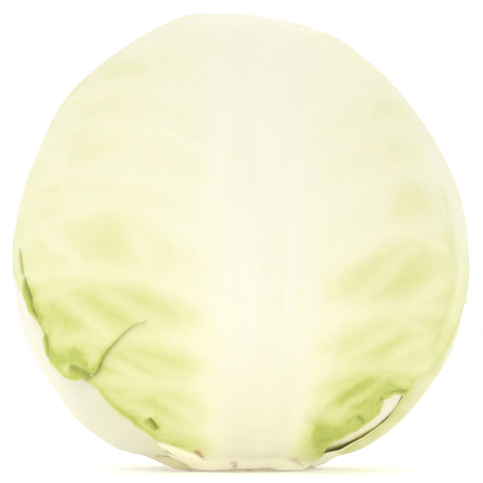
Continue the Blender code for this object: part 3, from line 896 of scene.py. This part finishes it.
def heart_piece(leaves, material, columns=150, rows=76):
    angles = np.linspace(180 - RING_ANGLE, 0.0, rows + 1)[:-1]
    turns = np.arange(columns) * 360.0 / columns
    polar, turn = (np.radians(grid) for grid in np.meshgrid(angles, turns, indexing="ij"))
    d = np.stack([np.sin(polar) * np.cos(turn), np.sin(polar) * np.sin(turn), np.cos(polar)], axis=-1)
    radius = heart_radius(leaves, d) - inner_steps(d) + 0.08 * MM * ripple(d, 9, 22.0, 91)
    skin = (MIDDLE + d * radius[..., None]).reshape(-1, 3)
    top = np.array([[0.0, 0.0, 1.0]])
    crown = MIDDLE + top * (heart_radius(leaves, top) - inner_steps(top))[:, None]
    wall = (MIDDLE_HEIGHT - HOLE_TOP) * math.tan(math.radians(RING_ANGLE))
    hole = np.stack([wall * np.cos(np.radians(turns)), wall * np.sin(np.radians(turns)),
                     np.full(columns, HOLE_TOP)], axis=-1)
    points = np.concatenate([skin, crown, hole, [[0.0, 0.0, HOLE_TOP]]])
    crown_at = rows * columns
    hole_at = crown_at + 1
    faces = []
    for column in range(columns):
        after = (column + 1) % columns
        for row in range(rows - 1):
            a, b = row * columns + column, row * columns + after
            faces.append((a, b, b + columns, a + columns))
        last = (rows - 1) * columns
        faces.append((last + column, last + after, crown_at))
        faces.append((after, column, hole_at + column, hole_at + after))
        faces.append((hole_at + after, hole_at + column, hole_at + columns))
    flat = np.concatenate([d.reshape(-1, 3), top, np.zeros((columns + 1, 3))])
    zero = np.zeros(len(points))
    values = {"green": 0.16 + 0.1 * ripple(flat, 9, 6.0, 92), "rib": zero, "painted_shade": zero, "base": zero,
              "scar": zero, "edge": zero, "across": flat[:, 0], "along": flat[:, 2]}
    piece_from("Packed_inner_leaves", points, faces, material, values, "packed_inner_leaves")


def stem_piece(material, sides=144):
    """The stump, with a cut foot that has a slightly rough face and a nicked, rounded rim."""
    neck = math.tan(math.radians(NECK_ANGLE))
    face_rings = (0.08, 0.2, 0.34, 0.48, 0.6, 0.72, 0.82, 0.91, 0.97, 1.0)
    profile = [(0.0, share * FOOT_RADIUS) for share in face_rings]
    profile += [(0.15 * MM, FOOT_RADIUS + 0.5 * MM), (0.5 * MM, FOOT_RADIUS + 0.9 * MM)]
    profile.append((RIM_HEIGHT, RIM_RADIUS))
    for height in np.linspace(NECK_HEIGHT, 8 * MM, 6):
        profile.append((height, (MIDDLE_HEIGHT - height) * neck))
    for height in np.linspace(14 * MM, STEM_TOP, 4):
        profile.append((height, (MIDDLE_HEIGHT - height) * neck))
    turns = 2 * math.pi * np.arange(sides) / sides
    points = [[FOOT_SHIFT, 0.0, 0.05 * MM]]
    radial = [0.0]
    for height, radius in profile:
        low = 1 - smooth_step(height / NECK_HEIGHT)
        lobes = 1 + low * (0.018 * np.sin(3 * turns + 0.6) + 0.012 * np.sin(7 * turns)
                           + 0.004 * np.sin(19 * turns + 1.0) + 0.003 * np.sin(31 * turns))
        rough = 0.0
        if height == 0 and radius < FOOT_RADIUS - 1e-6:
            rough = 0.06 * MM * (1 + np.sin(9 * turns + radius * 900)) * (1 - radius / FOOT_RADIUS)
        x = radius * lobes * np.cos(turns) + low * FOOT_SHIFT
        y = radius * lobes * np.sin(turns)
        points += np.stack([x, y, height + rough + 0 * turns], axis=1).tolist()
        radial += [radius / FOOT_RADIUS] * sides
    top_at = len(points)
    points.append([0.0, 0.0, STEM_TOP])
    radial.append(0.5)
    faces = [(0, 1 + (side + 1) % sides, 1 + side) for side in range(sides)]
    for level in range(len(profile) - 1):
        for side in range(sides):
            a, b = 1 + level * sides + side, 1 + level * sides + (side + 1) % sides
            faces.append((a, b, b + sides, a + sides))
    last = 1 + (len(profile) - 1) * sides
    faces += [(last + side, last + (side + 1) % sides, top_at) for side in range(sides)]
    piece_from("Cut_stem", points, faces, material, {"radial": radial}, "stem")


def stem_material():
    m = Shader("Cut stem")
    place = m.place()
    radial = m.value("radial")
    broad = m.noise(place, 60.0, 4.0, 0.6)
    fine = m.noise(place, 700.0, 3.0, 0.6)
    wobble = m.sum("ADD", radial, m.scaled(broad, 0.16, -0.08))
    # The stump's own cream; its rim and sides are painted brighter than it (1.08) as painted light against
    # the shade under the head
    colour = m.ramp(wobble, [(0.0, paint(238, 230, 196)), (0.5, paint(244, 238, 208)),
                             (0.66, paint(226, 214, 164)), (0.74, paint(240, 232, 192)),
                             (0.93, paint(254, 247, 222)), (1.0, paint(255, 246, 220, light=1.08))])
    blotch = m.band(m.noise(place, 150.0, 4.0, 0.7), 0.56, 0.72)
    dried = m.sum("MULTIPLY", blotch, m.band(radial, 0.82, 1.02))
    colour = m.over(colour, dried, 0.6, paint(226, 184, 120))
    dots = m.node("ShaderNodeTexVoronoi", {"Vector": place, "Scale": 900.0})
    pore = m.band(dots.outputs["Distance"], 0.12, 0.3, 1.0, 0.0)
    pores = m.sum("MULTIPLY", pore, m.band(radial, 0.5, 0.7))
    colour = m.over(colour, pores, 0.35, paint(206, 188, 132))
    m.surface("Base Color", colour)
    m.surface("Roughness", m.band(fine, 0.3, 0.7, 0.5, 0.72))
    normal = m.bump(fine, 0.4, 0.0004)
    m.surface("Normal", m.bump(pores, 0.3, 0.0003, normal))
    m.surface("Specular IOR Level", 0.25)
    return m.material


def stub_pieces(left, right, back, inner, leaves, material):
    """Stubs of outer leaves that were cut away, with browned, ragged cut edges."""
    outline = [(0, 7), (50, 8), (90, 11), (135, 13), (180, 20), (225, 13), (270, 11), (310, 8)]
    stubs = [("left", -135, 0.42, 0.4 * MM, [left]), ("right", 24, 1.0, 1.4 * MM, [right]),
             ("back", 104, 1.0, 1.4 * MM, [left, right])]
    for number, (side, turn, size, rib, on) in enumerate(stubs):
        sized = [(bearing, size * reach) for bearing, reach in outline]
        stub = Leaf(f"cut_leaf_base_{side}", turn, -64, sized, rib_inside=0.0, rib_outside=rib,
                    rib_width=(16.0, 12.0), base=-6.0, length=13.0, thickness=0.7 * MM,
                    seed=60 + number, spokes=110, rings=16, serration=0.12)
        stub_piece(stub, [back, inner] + on, leaves, material)


def stub_piece(leaf, under, leaves, material):
    """A stub as one closed shell, thick at the stump and thin at its cut edge."""
    bearing = spokes_of(leaf)
    count = len(bearing)
    plain = margin_of(leaf, bearing)
    ring = ring_reach(leaf, bearing)
    end = np.minimum(serrated(leaf, bearing, plain), ring)
    t = np.arange(1, leaf.rings + 1)[:, None] / leaf.rings
    share = np.sin(t * RING_SPREAD) / math.sin(RING_SPREAD)
    reach = np.concatenate([[0.0], (share * end).ravel()])
    bearings = np.concatenate([[0.0], np.tile(bearing, leaf.rings)])
    margins = np.concatenate([[plain.max()], np.tile(end, leaf.rings)])
    d = direction_on(leaf, bearings, reach)
    inside = heart_radius(leaves, d) + 0.05 * MM + base_swell(d)
    for other in under:
        inside = inside + layer_height(other, d)
    closeness = smooth_step(1 - (margins - reach) / 2.2)
    near_ring = smooth_step(1 - (np.tile(ring, leaf.rings) - reach[1:]) / 3.0)
    near_ring = np.concatenate([[0.0], near_ring])
    thick = leaf.thickness + leaf.rib_outside * rib_share(leaf, bearings, reach)
    thick *= 1 - 0.6 * closeness * (1 - near_ring)
    grain = 0.08 * MM * ripple(d, 9, 90.0, leaf.seed)
    outer = MIDDLE + d * above_cut(d, inside + thick + grain)[:, None]
    inner = MIDDLE + d * above_cut(d, inside, 0.5 * MM)[:, None]
    points = np.concatenate([outer, inner])
    spokes = np.arange(count)
    after = (spokes + 1) % count
    total = len(outer)
    faces = np.stack([np.zeros(count, int), 1 + after, 1 + spokes], axis=1).tolist()
    faces += np.stack([np.full(count, total), total + 1 + spokes, total + 1 + after], axis=1).tolist()
    for number in range(leaf.rings - 1):
        a = 1 + number * count
        quad = strip(a, a + count, count)
        faces += quad.tolist() + (total + quad[:, ::-1]).tolist()
    last = 1 + (leaf.rings - 1) * count
    faces += strip(last, total + last, count).tolist()
    a, b = reach * np.sin(np.radians(bearings)), reach * np.cos(np.radians(bearings))
    cut = closeness * (1 - near_ring)
    values = {"cut": np.concatenate([cut, cut]),
              "across": np.tile(a / 20.0, 2), "along": np.tile(b / 20.0, 2)}
    piece_from(leaf.name.capitalize(), points, faces, material, values, leaf.name)


def stub_material():
    m = Shader("Cut leaf base")
    place = m.place()
    streaks = m.streaks(0.12, 14.0, 3.0, 0.6)
    colour = m.mix(m.band(streaks, 0.35, 0.7), paint(252, 243, 208), paint(246, 236, 184))
    blotch = m.noise(place, 170.0, 4.0, 0.7)
    dried = m.sum("MULTIPLY", m.value("cut"), m.band(blotch, 0.42, 0.62))
    colour = m.over(colour, dried, 0.6, paint(214, 160, 92))
    m.surface("Base Color", colour)
    m.surface("Roughness", m.band(blotch, 0.3, 0.7, 0.48, 0.68))
    m.surface("Normal", m.bump(streaks, 0.35, 0.0005))
    m.surface("Specular IOR Level", 0.3)
    return m.material


def floor_and_light():
    mesh = bpy.data.meshes.new("Floor")
    size = 1.6
    drop = -0.02 * MM
    mesh.from_pydata([(-size, -size, drop), (size, -size, drop), (size, size, drop), (-size, size, drop)],
                     [], [(0, 1, 2, 3)])
    floor = bpy.data.objects.new("Floor", mesh)
    bpy.context.scene.collection.objects.link(floor)
    m = Shader("Pale floor")
    m.surface("Base Color", (0.9, 0.9, 0.895, 1.0))
    m.surface("Roughness", 0.8)
    m.surface("Emission Color", (1.0, 1.0, 1.0, 1.0))
    m.surface("Emission Strength", 0.29)
    mesh.materials.append(m.material)
    world = bpy.data.worlds.new("Soft white studio")
    world.use_nodes = True
    world.node_tree.nodes["Background"].inputs["Color"].default_value = (1.0, 1.0, 1.0, 1.0)
    world.node_tree.nodes["Background"].inputs["Strength"].default_value = 1.0
    bpy.context.scene.world = world
    bpy.context.scene.view_settings.view_transform = "Standard"
    lamp("Key", (-0.9, -1.6, 1.7), 5.4, 1.2)
    lamp("Rear", (0.4, 1.6, 1.4), 2.0, 1.4)


def lamp(name, at, power, size):
    data = bpy.data.lights.new(name, "AREA")
    data.energy = power
    data.size = size
    thing = bpy.data.objects.new(name, data)
    thing.location = at
    aim = -(np.array(at) - MIDDLE)
    thing.rotation_euler = Vector(aim).to_track_quat("-Z", "Y").to_euler()
    bpy.context.scene.collection.objects.link(thing)


def photo_camera():
    data = bpy.data.cameras.new("Camera")
    data.lens = LENS
    data.sensor_width = SENSOR
    camera = bpy.data.objects.new("Camera", data)
    half = FRAME_PIXELS / 2
    distance = FRAME_PIXELS * PIXEL * LENS / SENSOR
    camera.location = ((half - CENTRE_PIXEL) * PIXEL, -distance, (FOOT_PIXEL - half) * PIXEL)
    camera.rotation_euler = (math.radians(90), 0, 0)
    bpy.context.scene.collection.objects.link(camera)
    bpy.context.scene.camera = camera


def main():
    leaves = wrapper_leaves()
    back, inner, left, right, front = leaves
    green = leaf_material("Green leaf", 1, GREEN_STOPS, RIB_COLOURS)
    # The right leaf is the green leaf painted 0.92 as bright, as painted shade where the head turns away at
    # its side
    shaded_right_green = leaf_material("Green leaf beneath", 4, GREEN_STOPS, RIB_COLOURS, 0.05, 0.92)
    pale = leaf_material("Pale leaf", 2, PALE_STOPS, RIB_COLOURS, 0.06, 0.97)
    # The inner leaf's painted shade is olive, as its shaded gap looks with light coming through the leaf
    hidden = leaf_material("Inner leaf", 3, PALE_STOPS, RIB_COLOURS, 0.05, painted_shade_colour=(212, 200, 40))
    looks = {"back_leaf": pale, "inner_leaf": hidden, "left_leaf": pale, "right_leaf": shaded_right_green,
             "front_leaf": green}
    heart_piece(leaves, hidden)
    for number, leaf in enumerate(leaves):
        leaf_piece(leaf, leaves[:number], leaves, looks[leaf.name])
    stem_piece(stem_material())
    stub_pieces(left, right, back, inner, leaves, stub_material())
    floor_and_light()
    photo_camera()


main()
